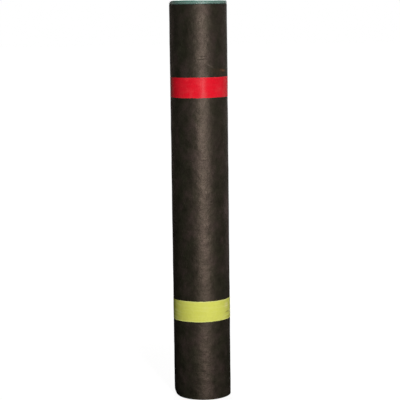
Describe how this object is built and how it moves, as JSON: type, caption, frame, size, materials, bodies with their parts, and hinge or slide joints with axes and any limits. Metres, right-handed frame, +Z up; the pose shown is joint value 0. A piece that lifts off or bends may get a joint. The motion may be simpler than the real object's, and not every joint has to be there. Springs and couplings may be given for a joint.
{
  "type": "roll of roofing felt",
  "caption": "Tall roll of dark bituminous roofing felt standing on its end, wound round an open bore, with tape bands round it and a film edge at the top.",
  "frame": {"origin": "on the bore's axis, in the plane of the lower end that the roll stands on", "axes": "+Z up along the bore, -Y to the front that the picture shows, +Y to the loose end of the sheet"},
  "size_m": [0.1456, 0.1464, 1.009],
  "materials": {
    "felt": "satin brown-black bitumen, mottled, with a soft sheen",
    "film": "thin crinkled teal film",
    "red_tape": "glossy red packing tape",
    "green_tape": "glossy yellow-green packing tape"
  },
  "bodies": {
    "root": {"felt_roll": "felt", "edge_film": "film", "red_band": "red_tape", "green_band": "green_tape"}
  },
  "joints": []
}
